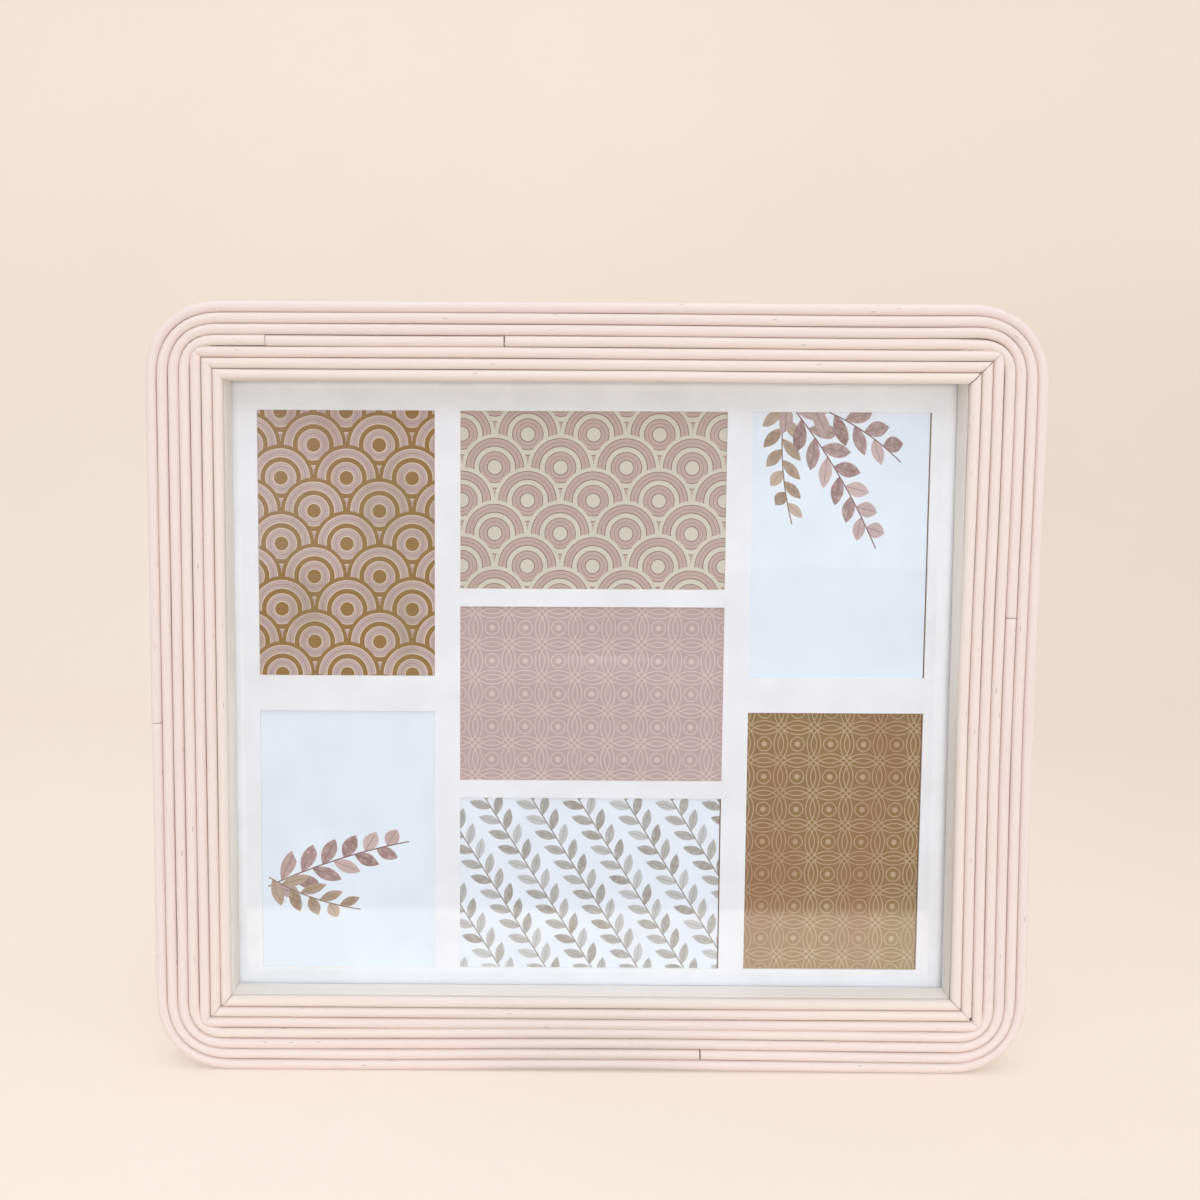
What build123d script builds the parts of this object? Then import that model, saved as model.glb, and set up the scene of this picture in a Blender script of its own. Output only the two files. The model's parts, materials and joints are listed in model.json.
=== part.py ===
from build123d import *
import os

# Collage photo frame faced with rows of round cane, in millimetres.
# X runs to the viewer's right, Y towards the wall, Z up.
# The origin is the middle of the flat underside of the bottom rail.

# Prints and the openings that show them
opening_short = 97.0
opening_long = 145.5
print_lap_short = 1.5
print_lap_long = 2.25
print_thickness = 0.3
slipped_card_gap = 0.6

# Layout of the mat
column_gap = 14.0
middle_row_gap = 9.8
side_row_gap = 19.6
margin_side = 12.95
margin_ends = 11.4
mat_thickness = 1.2
mat_play_x = 3.0
mat_play_z = 4.0

# Cane facing
bent_rows = 4
mitred_rows = 3
cane_diameter = 5.8
cane_gap = 0.1
cane_flat = 0.4
cane_sides = 12
inner_bend_radius = 15.35
butt_gap = 0.3
row_1_joint_height = 192.0
row_2_joint_right = 60.0
row_3_joint_height = 251.0
row_4_filler_from_left = 64.0
row_4_filler_length = 125.5

# Rails, glass and back
rail_corner_radius = 40.0
lip_depth = 14.5
rebate_width = 8.0
glass_thickness = 2.0
glass_play = 2.0
backing_thickness = 3.0
backing_play = 2.0

# Turn buttons that hold the back in
button_thickness = 1.2
button_head_radius = 6.0
button_tip_radius = 4.0
button_reach = 15.0
button_inset = 7.5
button_spread = 110.0
button_slip = 0.1

# Wood screws
screw_radius = 1.5
screw_head_radius = 3.1
screw_head_height = 1.8
screw_crown_radius = 2.0
screw_sides = 16
screw_depth = 11.0
pilot_clearance = 0.02
pivot_clearance = 0.05
strap_hole_clearance = 0.2

# Ring hangers
hanger_drop = 110.0
strap_width = 11.0
strap_thickness = 1.2
strap_length = 25.0
strap_screw_drop = 18.0
strap_end_round = 4.0
strap_joggle = 0.35
joggle_run = 3.0
ring_wire_radius = 1.0
ring_wire_sides = 8
ring_bow_radius = 10.0
ring_corner_radius = 2.5
ring_clearance = 0.06

# Sizes that follow from those above
cane_radius = cane_diameter / 2
cane_pitch = cane_diameter + cane_gap
rail_width = (bent_rows + mitred_rows) * cane_pitch
corner_radius = inner_bend_radius + (bent_rows - 0.5) * cane_pitch
block_width = 2 * opening_short + opening_long + 2 * column_gap
block_height = max(2 * opening_long + side_row_gap, 3 * opening_short + 2 * middle_row_gap)
sight_width = block_width + 2 * margin_side
sight_height = block_height + 2 * margin_ends
outer_width = sight_width + 2 * rail_width
outer_height = sight_height + 2 * rail_width
rebate_open_width = sight_width + 2 * rebate_width
rebate_open_height = sight_height + 2 * rebate_width
rail_depth = lip_depth + glass_thickness + mat_thickness + print_thickness + backing_thickness

# Planes from front to back and heights from the floor
rail_front_y = -rail_depth / 2
rail_back_y = rail_depth / 2
cane_axis_y = rail_front_y - cane_radius + cane_flat
glass_y = rail_front_y + lip_depth
mat_y = glass_y + glass_thickness
print_y = mat_y + mat_thickness
backing_y = print_y + print_thickness
frame_middle_z = outer_height / 2
rebate_floor_z = rail_width - rebate_width


def upright_slab(profile, y, depth):
    """Stand a profile drawn as X across and Y up in the XZ plane and thicken it backwards."""
    standing = Plane(origin=(0, y, 0), x_dir=(1, 0, 0), z_dir=(0, -1, 0))
    return extrude(standing * profile, amount=-depth)


def sheet_in_rebate(play_x, play_z):
    """A sheet outline that rests on the floor of the rebate, centred from side to side."""
    width = rebate_open_width - play_x
    height = rebate_open_height - play_z
    return Pos(0, rebate_floor_z + height / 2) * Rectangle(width, height)


def corner_points(inset):
    """Corners of the frame outline moved inwards, from bottom left and up to the left."""
    across = outer_width / 2 - inset
    top = outer_height - inset
    return {
        "bottom_left": (-across, inset),
        "top_left": (-across, top),
        "top_right": (across, top),
        "bottom_right": (across, inset),
    }


side_ends = {
    "top": ("top_left", "top_right"),
    "right": ("top_right", "bottom_right"),
    "bottom": ("bottom_right", "bottom_left"),
    "left": ("bottom_left", "top_left"),
}


def mitred_strip(side, outer_inset, inner_inset):
    """Flat strip along one side of the frame, cut at 45 degrees at both ends."""
    first, last = side_ends[side]
    outer = corner_points(outer_inset)
    inner = corner_points(inner_inset)
    return make_face(Polyline(outer[first], outer[last], inner[last], inner[first], close=True))


# Places of the seven openings, as centre and size on the mat
mat_height = rebate_open_height - mat_play_z
mat_middle_z = rebate_floor_z + mat_height / 2
column_x = (opening_long + opening_short) / 2 + column_gap
side_row_z = (block_height - opening_long) / 2
middle_row_z = (block_height - opening_short) / 2
openings = {
    "top_left": (-column_x, side_row_z, opening_short, opening_long),
    "bottom_left": (-column_x, -side_row_z, opening_short, opening_long),
    "top_middle": (0, middle_row_z, opening_long, opening_short),
    "middle": (0, 0, opening_long, opening_short),
    "bottom_middle": (0, -middle_row_z, opening_long, opening_short),
    "top_right": (column_x, side_row_z, opening_short, opening_long),
    "bottom_right": (column_x, -side_row_z, opening_short, opening_long),
}
slipped_cards = ("top_right", "bottom_middle", "bottom_right")

# Places of the turn buttons: pivot and the turn that points the tip inwards
button_across = rebate_open_width / 2 + button_inset
button_top_z = outer_height - rebate_floor_z + button_inset
button_bottom_z = rebate_floor_z - button_inset
buttons = {
    "top_left": (-button_spread, button_top_z, -90),
    "top_right": (button_spread, button_top_z, -90),
    "bottom_left": (-button_spread, button_bottom_z, 90),
    "bottom_right": (button_spread, button_bottom_z, 90),
    "left": (-button_across, frame_middle_z, 0),
    "right": (button_across, frame_middle_z, 180),
}

# Places of the ring hangers on the backs of the side rails
hanger_x = (outer_width / 2 + rebate_open_width / 2) / 2
hanger_z = outer_height - hanger_drop
hangers = {"left": -hanger_x, "right": hanger_x}
loop_bore = ring_wire_radius + ring_clearance
loop_radius = loop_bore + strap_thickness
ring_axis_y = rail_back_y + strap_joggle + loop_radius
button_y = rail_back_y + button_slip
button_head_y = button_y + button_thickness + button_slip
strap_head_y = rail_back_y + strap_thickness

parts = {}


def screw(x, z, head_y):
    """Pan-head wood screw whose head sits at head_y and whose shank is in the rail."""
    shank_end = rail_back_y - screw_depth
    seat = RegularPolygon(screw_head_radius, screw_sides)
    crown = Pos(0, 0, screw_head_height) * RegularPolygon(screw_crown_radius, screw_sides)
    head = loft([seat, crown], ruled=True)
    shank = extrude(RegularPolygon(screw_radius, screw_sides), amount=shank_end - head_y)
    along_y = Plane(origin=(x, head_y, z), x_dir=(1, 0, 0), z_dir=(0, 1, 0))
    return along_y * (head + shank)


def pilot_hole(x, z):
    """Hole in the back of a rail for one screw."""
    mouth = Plane(origin=(x, rail_back_y, z), x_dir=(1, 0, 0), z_dir=(0, -1, 0))
    depth = screw_depth + pilot_clearance
    return mouth * Pos(0, 0, depth / 2) * Cylinder(screw_radius + pilot_clearance, depth)


# Rails: an L section with a rebate at the back, mitred at the corners.
# They are rounder there than the outermost cane, which reaches a little past them.
outline = Pos(0, frame_middle_z) * RectangleRounded(outer_width, outer_height, rail_corner_radius)
rebate = upright_slab(
    Pos(0, frame_middle_z) * Rectangle(rebate_open_width, rebate_open_height),
    glass_y,
    rail_depth,
)
pilot_holes = [pilot_hole(x, z) for x, z, turn in buttons.values()]
pilot_holes += [pilot_hole(x, hanger_z - strap_screw_drop) for x in hangers.values()]
for side in side_ends:
    strip = mitred_strip(side, 0, rail_width) & outline
    rail = upright_slab(strip, rail_front_y, rail_depth) - rebate
    for hole in pilot_holes:
        rail -= hole
    parts[f"rail_{side}"] = rail


# Cane: a round rod sanded flat where it is glued to the rail
def cane_section():
    """Cross-section of a cane, with local X towards the rail."""
    flat_x = cane_radius - cane_flat
    sanded = Pos(flat_x + cane_diameter / 2, 0) * Rectangle(cane_diameter, 2 * cane_diameter)
    side_to_rail = 180 / cane_sides
    rod = RegularPolygon(cane_radius, cane_sides, major_radius=False, rotation=side_to_rail)
    return rod - sanded


def cane_along(path):
    """Sweep the cane section along a path in the plane of the cane axes."""
    start = Plane(origin=path @ 0, x_dir=(0, 1, 0), z_dir=path % 0)
    return sweep(start * cane_section(), path=path)


def row_inset(row):
    """Distance from the outside of the frame to the axis of a cane row, counted from 1."""
    return (row - 0.5) * cane_pitch


def bent_cane(row, first, last, corners):
    """Cane of one row from one point to another, bent round the named corners."""
    places = corner_points(row_inset(row))
    points = [first] + [places[name] for name in corners] + [last]
    standing = [(x, cane_axis_y, z) for x, z in points]
    bend = corner_radius - row_inset(row)
    return cane_along(FilletPolyline(*standing, radius=bend))


clockwise = ["top_left", "top_right", "bottom_right", "bottom_left"]
left_x = -outer_width / 2 + row_inset(1)
parts["bent_cane_1"] = bent_cane(
    1,
    (left_x, row_1_joint_height + butt_gap / 2),
    (left_x, row_1_joint_height - butt_gap / 2),
    clockwise,
)
bottom_z = row_inset(2)
parts["bent_cane_2"] = bent_cane(
    2,
    (row_2_joint_right - butt_gap / 2, bottom_z),
    (row_2_joint_right + butt_gap / 2, bottom_z),
    clockwise[3:] + clockwise[:3],
)
right_x = outer_width / 2 - row_inset(3)
parts["bent_cane_3"] = bent_cane(
    3,
    (right_x, row_3_joint_height - butt_gap / 2),
    (right_x, row_3_joint_height + butt_gap / 2),
    clockwise[2:] + clockwise[:2],
)
filler_z = outer_height - row_inset(4)
filler_left = row_4_filler_from_left - outer_width / 2
filler_right = filler_left + row_4_filler_length
parts["bent_cane_4"] = bent_cane(
    4,
    (filler_right + butt_gap, filler_z),
    (filler_left - butt_gap, filler_z),
    clockwise[1:] + clockwise[:1],
)
parts["filler_cane_4"] = cane_along(
    Line((filler_left, cane_axis_y, filler_z), (filler_right, cane_axis_y, filler_z))
)

# Inner rows: straight canes mitred at the corners, the outermost trimmed by the bent row
bent_edge = corner_radius - bent_rows * cane_pitch
bent_inset = bent_rows * cane_pitch
inner_field = Pos(0, frame_middle_z) * RectangleRounded(
    outer_width - 2 * bent_inset, outer_height - 2 * bent_inset, bent_edge
)
cane_field = upright_slab(inner_field, cane_axis_y - cane_diameter, 2 * cane_diameter)
for row in range(bent_rows + 1, bent_rows + mitred_rows + 1):
    for side, (first, last) in side_ends.items():
        places = corner_points(row_inset(row))
        ends = [(x, cane_axis_y, z) for x, z in (places[first], places[last])]
        along = Line(*ends)
        length = along.length + 2 * cane_diameter
        middle = along @ 0.5
        reach = (along % 0) * (length / 2)
        cane = cane_along(Line(middle - reach, middle + reach))
        strip = mitred_strip(side, (row - 1) * cane_pitch, row * cane_pitch)
        sector = upright_slab(strip, cane_axis_y - cane_diameter, 2 * cane_diameter)
        parts[f"inner_cane_{row}_{side}"] = cane & sector & cane_field

# Glass, mat, prints and back, stacked in the rebate
parts["glass"] = upright_slab(sheet_in_rebate(glass_play, glass_play), glass_y, glass_thickness)
mat = sheet_in_rebate(mat_play_x, mat_play_z)
for x, z, width, height in openings.values():
    mat -= Pos(x, mat_middle_z + z) * Rectangle(width, height)
parts["mat"] = upright_slab(mat, mat_y, mat_thickness)
for name, (x, z, width, height) in openings.items():
    upright = height > width
    lap_x = print_lap_short if upright else print_lap_long
    lap_z = print_lap_long if upright else print_lap_short
    slip = lap_x + slipped_card_gap if name in slipped_cards else 0
    card = Pos(x - slip, mat_middle_z + z) * Rectangle(width + 2 * lap_x, height + 2 * lap_z)
    parts[f"print_{name}"] = upright_slab(card, print_y, print_thickness)
parts["backing_board"] = upright_slab(
    sheet_in_rebate(backing_play, backing_play), backing_y, backing_thickness
)


# Turn buttons: a pressed steel drop shape with its pivot hole in the wide end
def button_outline():
    """Two circles joined by tangents, along local X from the pivot to the tip."""
    head = Circle(button_head_radius)
    tip = Pos(button_reach, 0) * Circle(button_tip_radius)
    return make_hull(head.edges() + tip.edges())


for name, (x, z, turn) in buttons.items():
    flat = button_outline() - Circle(screw_radius + pivot_clearance)
    placed = Pos(x, z) * Rot(0, 0, turn) * flat
    parts[f"turn_button_{name}"] = upright_slab(placed, button_y, button_thickness)
button_screws = [screw(x, z, button_head_y) for x, z, turn in buttons.values()]
parts["turn_button_screws"] = Compound(children=button_screws)


# Ring hangers: a strap rolled round the straight leg of a D ring
def hanger_strap(x):
    """Strap with a rolled loop at the top and one screw hole, flat on the back of a rail."""
    side_plane = Plane(origin=(x - strap_width / 2, 0, 0), x_dir=(0, 1, 0), z_dir=(1, 0, 0))
    joggle_top = hanger_z - loop_radius
    joggle_foot = joggle_top - joggle_run
    foot = hanger_z - strap_length
    raised_y = rail_back_y + strap_joggle
    profile = make_face(
        Polyline(
            (rail_back_y, foot),
            (rail_back_y, joggle_foot),
            (raised_y, joggle_top),
            (raised_y, hanger_z),
            (raised_y + strap_thickness, hanger_z),
            (raised_y + strap_thickness, joggle_top),
            (rail_back_y + strap_thickness, joggle_foot),
            (rail_back_y + strap_thickness, foot),
            close=True,
        )
    )
    profile += Pos(ring_axis_y, hanger_z) * Circle(loop_radius)
    profile -= Pos(ring_axis_y, hanger_z) * Circle(loop_bore)
    strap = extrude(side_plane * profile, amount=strap_width)
    foot_corners = strap.edges().filter_by(Axis.Y).group_by(Axis.Z)[0]
    strap = fillet(foot_corners, strap_end_round)
    hole = Plane(
        origin=(x, rail_back_y + strap_thickness / 2, hanger_z - strap_screw_drop),
        x_dir=(1, 0, 0),
        z_dir=(0, 1, 0),
    ) * Cylinder(screw_radius + strap_hole_clearance, 2 * strap_thickness)
    return strap - hole


def d_ring(x):
    """Wire bent to a D, hanging from its straight leg, which lies on the hinge axis."""
    half_disc = Circle(ring_bow_radius) - Pos(0, ring_bow_radius) * Rectangle(
        2 * ring_bow_radius, 2 * ring_bow_radius
    )
    half_disc = fillet(half_disc.vertices(), ring_corner_radius)
    standing = Plane(origin=(x, ring_axis_y, hanger_z), x_dir=(1, 0, 0), z_dir=(0, -1, 0))
    path = (standing * half_disc).wire()
    start = Plane(origin=path @ 0, z_dir=path % 0)
    return sweep(start * RegularPolygon(ring_wire_radius, ring_wire_sides), path=path)


for side, x in hangers.items():
    parts[f"hanger_strap_{side}"] = hanger_strap(x)
    parts[f"d_ring_{side}"] = d_ring(x)
hanger_screws = [screw(x, hanger_z - strap_screw_drop, strap_head_y) for x in hangers.values()]
parts["hanger_screws"] = Compound(children=hanger_screws)

os.makedirs("parts", exist_ok=True)
for name, shape in parts.items():
    export_step(shape, f"parts/{name}.step")
frame_depth = rail_depth + cane_diameter - cane_flat
print(f"{len(parts)} nodes, {outer_width:.1f} x {frame_depth:.1f} x {outer_height:.1f} mm")
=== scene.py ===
import json
import math

import bmesh
import bpy
from mathutils import Matrix, Vector, noise


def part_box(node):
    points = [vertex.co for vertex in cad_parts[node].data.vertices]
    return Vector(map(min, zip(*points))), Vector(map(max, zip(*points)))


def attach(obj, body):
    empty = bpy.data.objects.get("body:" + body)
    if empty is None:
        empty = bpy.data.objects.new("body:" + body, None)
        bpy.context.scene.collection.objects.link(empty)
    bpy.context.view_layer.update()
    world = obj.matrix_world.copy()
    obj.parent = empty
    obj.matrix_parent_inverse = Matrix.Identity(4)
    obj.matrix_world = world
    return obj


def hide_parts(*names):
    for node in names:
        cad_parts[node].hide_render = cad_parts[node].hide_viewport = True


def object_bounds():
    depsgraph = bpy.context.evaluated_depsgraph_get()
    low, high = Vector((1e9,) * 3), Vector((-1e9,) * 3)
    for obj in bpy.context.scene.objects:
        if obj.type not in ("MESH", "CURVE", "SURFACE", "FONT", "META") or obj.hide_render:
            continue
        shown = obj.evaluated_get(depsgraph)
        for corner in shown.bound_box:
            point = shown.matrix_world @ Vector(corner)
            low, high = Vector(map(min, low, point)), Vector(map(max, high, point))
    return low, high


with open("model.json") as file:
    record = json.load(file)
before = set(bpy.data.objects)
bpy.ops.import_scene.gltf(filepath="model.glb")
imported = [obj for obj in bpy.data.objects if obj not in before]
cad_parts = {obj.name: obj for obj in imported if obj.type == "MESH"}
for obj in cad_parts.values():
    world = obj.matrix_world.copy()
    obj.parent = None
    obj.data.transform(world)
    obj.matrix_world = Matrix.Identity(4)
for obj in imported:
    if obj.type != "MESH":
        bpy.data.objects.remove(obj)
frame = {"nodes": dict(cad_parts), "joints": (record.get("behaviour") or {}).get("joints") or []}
cadLow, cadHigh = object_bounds()
scene = bpy.context.scene
mm = 0.001
print("frame loaded:", len(frame["nodes"]), "nodes")

# what several pieces take from the frame
railLow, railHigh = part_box("rail_left")
railWidth = railHigh.x - railLow.x
railFront = railLow.y
railBack = railHigh.y
halfWidth = -railLow.x
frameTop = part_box("rail_top")[1].z
frontWay = Vector((0, -1, 0))

# the four sides, clockwise as seen from the front: way of travel, way inwards
sides = {
    "top": (Vector((1, 0, 0)), Vector((0, 0, -1))),
    "right": (Vector((0, 0, -1)), Vector((-1, 0, 0))),
    "bottom": (Vector((-1, 0, 0)), Vector((0, 0, 1))),
    "left": (Vector((0, 0, 1)), Vector((1, 0, 0))),
}
sideNames = list(sides)


def cornerAfter(side, inset):
    # corner at the end of a side, moved inwards from the outside of the frame
    x = halfWidth if side in ("top", "right") else -halfWidth
    z = frameTop if side in ("left", "top") else 0
    travel, inwards = sides[side]
    return Vector((x, 0, z)) + (inwards - travel) * inset


def sideBefore(side):
    return sideNames[sideNames.index(side) - 1]


# node helpers
def tone(red, green, blue):
    # a screen colour, 0 to 255, in the linear values that shaders take
    shares = [part / 255 for part in (red, green, blue)]
    return [s / 12.92 if s < 0.04045 else ((s + 0.055) / 1.055) ** 2.4 for s in shares] + [1]


def plug(tree, source, socket):
    # an output is linked, and a plain number or colour is set on the socket
    if isinstance(source, bpy.types.NodeSocket):
        tree.links.new(source, socket)
    else:
        socket.default_value = source


def calc(tree, operation, *values):
    node = tree.nodes.new("ShaderNodeMath")
    node.operation = operation
    for value, socket in zip(values, node.inputs):
        plug(tree, value, socket)
    return node.outputs[0]


def times(tree, first, *others):
    for other in others:
        first = calc(tree, "MULTIPLY", first, other)
    return first


def minus(tree, first, second):
    return calc(tree, "SUBTRACT", first, second)


def lengthOf(tree, a, b):
    squares = calc(tree, "ADD", times(tree, a, a), times(tree, b, b))
    return calc(tree, "SQRT", squares)


def rescale(tree, value, low, high, first=0.0, last=1.0):
    node = tree.nodes.new("ShaderNodeMapRange")
    node.interpolation_type = "SMOOTHSTEP"
    for source, socket in zip((value, low, high, first, last), node.inputs):
        plug(tree, source, socket)
    return node.outputs[0]


def blendColour(tree, share, first, second):
    node = tree.nodes.new("ShaderNodeMix")
    node.data_type = "RGBA"
    plug(tree, share, node.inputs[0])
    plug(tree, first, node.inputs[6])
    plug(tree, second, node.inputs[7])
    return node.outputs[2]


def joinXyz(tree, x, y, z):
    node = tree.nodes.new("ShaderNodeCombineXYZ")
    for source, socket in zip((x, y, z), node.inputs):
        plug(tree, source, socket)
    return node.outputs[0]


def splitXyz(tree, vector):
    node = tree.nodes.new("ShaderNodeSeparateXYZ")
    plug(tree, vector, node.inputs[0])
    return node.outputs


def noiseAt(tree, vector, scale, detail=2.0, roughness=0.5):
    node = tree.nodes.new("ShaderNodeTexNoise")
    plug(tree, vector, node.inputs["Vector"])
    plug(tree, scale, node.inputs["Scale"])
    node.inputs["Detail"].default_value = detail
    node.inputs["Roughness"].default_value = roughness
    return node.outputs[0]


def spotsAt(tree, vector, scale):
    # distance to the nearest cell centre, and a random number for the cell
    node = tree.nodes.new("ShaderNodeTexVoronoi")
    plug(tree, vector, node.inputs["Vector"])
    node.inputs["Scale"].default_value = scale
    cell = tree.nodes.new("ShaderNodeSeparateColor")
    tree.links.new(node.outputs["Color"], cell.inputs[0])
    return node.outputs["Distance"], cell.outputs[0]


def placeOf(tree, centre=(0, 0, 0), scale=(1, 1, 1), turn=0.0):
    # Object coordinates, measured from a centre and turned about Y
    start = Vector(centre) * Vector(scale)
    start.rotate(Matrix.Rotation(turn, 3, "Y"))
    node = tree.nodes.new("ShaderNodeMapping")
    node.inputs["Location"].default_value = -start
    node.inputs["Rotation"].default_value = (0, turn, 0)
    node.inputs["Scale"].default_value = scale
    coordinates = tree.nodes.new("ShaderNodeTexCoord")
    tree.links.new(coordinates.outputs["Object"], node.inputs["Vector"])
    return node.outputs[0]


def readAttribute(tree, name):
    node = tree.nodes.new("ShaderNodeAttribute")
    node.attribute_name = name
    return node.outputs["Fac"]


def bumpFrom(tree, shader, height, strength, distance):
    node = tree.nodes.new("ShaderNodeBump")
    node.inputs["Strength"].default_value = strength
    node.inputs["Distance"].default_value = distance
    tree.links.new(height, node.inputs["Height"])
    tree.links.new(node.outputs[0], shader.inputs["Normal"])


def mixShaders(tree, share, first, second):
    node = tree.nodes.new("ShaderNodeMixShader")
    for source, socket in zip((share, first, second), node.inputs):
        tree.links.new(source, socket)
    return node.outputs[0]


def rayKinds(tree):
    # the kinds of ray, and whether it was mirrored by the pane or went through it
    path = tree.nodes.new("ShaderNodeLightPath").outputs
    mirrored = calc(tree, "MAXIMUM", path["Is Glossy Ray"], path["Is Transmission Ray"])
    return path, mirrored


def newMaterial(name):
    material = bpy.data.materials.new(name)
    material.use_nodes = True
    return material, material.node_tree, material.node_tree.nodes["Principled BSDF"]


def newGroup(name, inputs, outputs):
    # the place is a vector and all else a plain number
    tree = bpy.data.node_groups.new(name, "ShaderNodeTree")
    for label in inputs:
        kind = "NodeSocketVector" if label == "Place" else "NodeSocketFloat"
        tree.interface.new_socket(name=label, in_out="INPUT", socket_type=kind)
    for label in outputs:
        tree.interface.new_socket(name=label, in_out="OUTPUT", socket_type="NodeSocketFloat")
    return tree, tree.nodes.new("NodeGroupInput").outputs, tree.nodes.new("NodeGroupOutput").inputs


def useGroup(tree, group, **values):
    node = tree.nodes.new("ShaderNodeGroup")
    node.node_tree = group
    for label, value in values.items():
        plug(tree, value, node.inputs[label])
    return node.outputs


# shared effects
def makePaperTooth():
    # felted surface of card and paper: fine height and a slow mottle
    group, given, out = newGroup("paperTooth", ["Place"], ["Height", "Mottle"])
    fine = noiseAt(group, given["Place"], 2600, 3, 0.6)
    felt = noiseAt(group, given["Place"], 700, 2)
    group.links.new(calc(group, "MULTIPLY_ADD", felt, 0.5, fine), out["Height"])
    group.links.new(noiseAt(group, given["Place"], 35, 3, 0.6), out["Mottle"])
    return group


def makeWoodGrain():
    # long fibres, with the place stretched by the material
    group, given, out = newGroup("woodGrain", ["Place"], ["Fibre", "Figure"])
    fibre = noiseAt(group, given["Place"], 9, 4, 0.65)
    group.links.new(fibre, out["Fibre"])
    figure = noiseAt(group, given["Place"], 2.2, 2)
    bands = calc(group, "SINE", times(group, figure, 42))
    group.links.new(calc(group, "MULTIPLY_ADD", bands, 0.5, 0.5), out["Figure"])
    return group


def makePlatedWear():
    # plating that has dulled in patches, with fine rubbing marks
    group, given, out = newGroup("platedWear", ["Place"], ["Dull", "Marks"])
    group.links.new(noiseAt(group, given["Place"], 240, 3, 0.6), out["Dull"])
    group.links.new(noiseAt(group, given["Place"], 2400, 2), out["Marks"])
    return group


paperTooth = makePaperTooth()
woodGrain = makeWoodGrain()
platedWear = makePlatedWear()


# finishes
caneLook = {
    "cream": tone(237, 224, 213),
    "blush": tone(236, 220, 214),
    "bare": tone(208, 176, 158),
    "fleck": tone(142, 108, 90),
    # bare wood in the valleys between rods, also painted shade there
    "valley": tone(164, 130, 114),
}


def makeLimewashedCane():
    # patterns follow the rod: along it in metres, around it in half turns from its crest
    material, tree, shader = newMaterial("limewashedCane")
    along = readAttribute(tree, "along")
    around = readAttribute(tree, "around")
    tint = readAttribute(tree, "tint")
    valley = readAttribute(tree, "valley")

    def strand(lengthwise, crosswise):
        onward = times(tree, along, lengthwise)
        sideways = times(tree, around, crosswise)
        apart = times(tree, tint, 50)  # rods of another tint get another pattern
        return joinXyz(tree, onward, sideways, apart)

    drift = noiseAt(tree, strand(9, 0.8), 1, 2)
    warmth = calc(tree, "ADD", tint, calc(tree, "MULTIPLY_ADD", drift, 0.9, -0.45))
    colour = blendColour(tree, rescale(tree, warmth, 0, 1), caneLook["cream"], caneLook["blush"])
    streak = noiseAt(tree, strand(20, 26), 1, 3, 0.6)
    fine = noiseAt(tree, strand(75, 95), 1, 2)
    colour = blendColour(tree, rescale(tree, streak, 0.52, 0.8, 0, 0.3), colour, caneLook["bare"])
    colour = blendColour(tree, rescale(tree, fine, 0.55, 0.8, 0, 0.14), colour, caneLook["bare"])
    distance, chance = spotsAt(tree, strand(70, 4.5), 1)
    fleck = times(tree, rescale(tree, distance, 0.06, 0.16, 1, 0), rescale(tree, chance, 0.8, 0.9))
    colour = blendColour(tree, times(tree, fleck, 0.55), colour, caneLook["fleck"])
    # painted shade: towards a side that has a neighbouring rod the colour darkens, partly bare wood
    # under thin limewash and partly the shade that falls in the valley
    low = rescale(tree, calc(tree, "ABSOLUTE", around), 0.42, 0.5)
    patchy = rescale(tree, noiseAt(tree, strand(16, 1), 1, 2), 0.36, 0.64, 0.05, 1)
    valleyStainAndShade = times(tree, low, valley, patchy)
    colour = blendColour(tree, valleyStainAndShade, colour, caneLook["valley"])
    tree.links.new(colour, shader.inputs["Base Color"])
    tree.links.new(rescale(tree, streak, 0.3, 0.8, 0.58, 0.74), shader.inputs["Roughness"])
    shader.inputs["Specular IOR Level"].default_value = 0.3
    bumpFrom(tree, shader, calc(tree, "MULTIPLY_ADD", fine, 0.5, streak), 0.3, 0.12 * mm)
    return material


paintLook = {
    "paint": tone(241, 236, 228),
    "thin": tone(230, 221, 210),
    "joint": tone(150, 132, 116),
    "stretch": (1.6, 70, 70),
}


def makePaintedWood(name, way):
    # thin pale paint over wood whose grain runs along X or Z
    material, tree, shader = newMaterial(name)
    longWay, crossWay, depthWay = paintLook["stretch"]
    scale = (longWay, depthWay, crossWay) if way == "X" else (crossWay, depthWay, longWay)
    grain = useGroup(tree, woodGrain, Place=placeOf(tree, scale=scale))
    worn = rescale(tree, grain["Fibre"], 0.45, 0.75, 0, 0.5)
    colour = blendColour(tree, worn, paintLook["paint"], paintLook["thin"])
    figure = times(tree, grain["Figure"], 0.1)
    colour = blendColour(tree, figure, colour, paintLook["thin"])
    # a fine line where two rails meet on the back
    x, y, z = splitXyz(tree, placeOf(tree, (0, 0, frameTop / 2)))
    inX = minus(tree, halfWidth, calc(tree, "ABSOLUTE", x))
    inZ = minus(tree, frameTop / 2, calc(tree, "ABSOLUTE", z))
    off = calc(tree, "ABSOLUTE", minus(tree, inX, inZ))
    behind = rescale(tree, y, railBack - 1.2 * mm, railBack - 0.2 * mm)
    line = times(tree, rescale(tree, off, 0.15 * mm, 0.55 * mm, 0.7, 0), behind)
    colour = blendColour(tree, line, colour, paintLook["joint"])
    tree.links.new(colour, shader.inputs["Base Color"])
    tree.links.new(rescale(tree, grain["Fibre"], 0.3, 0.7, 0.5, 0.68), shader.inputs["Roughness"])
    shader.inputs["Specular IOR Level"].default_value = 0.35
    bumpFrom(tree, shader, grain["Fibre"], 0.25, 0.15 * mm)
    return material


matLook = {"face": tone(246, 246, 249), "shade": tone(240, 240, 242), "core": tone(240, 238, 232)}


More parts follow.
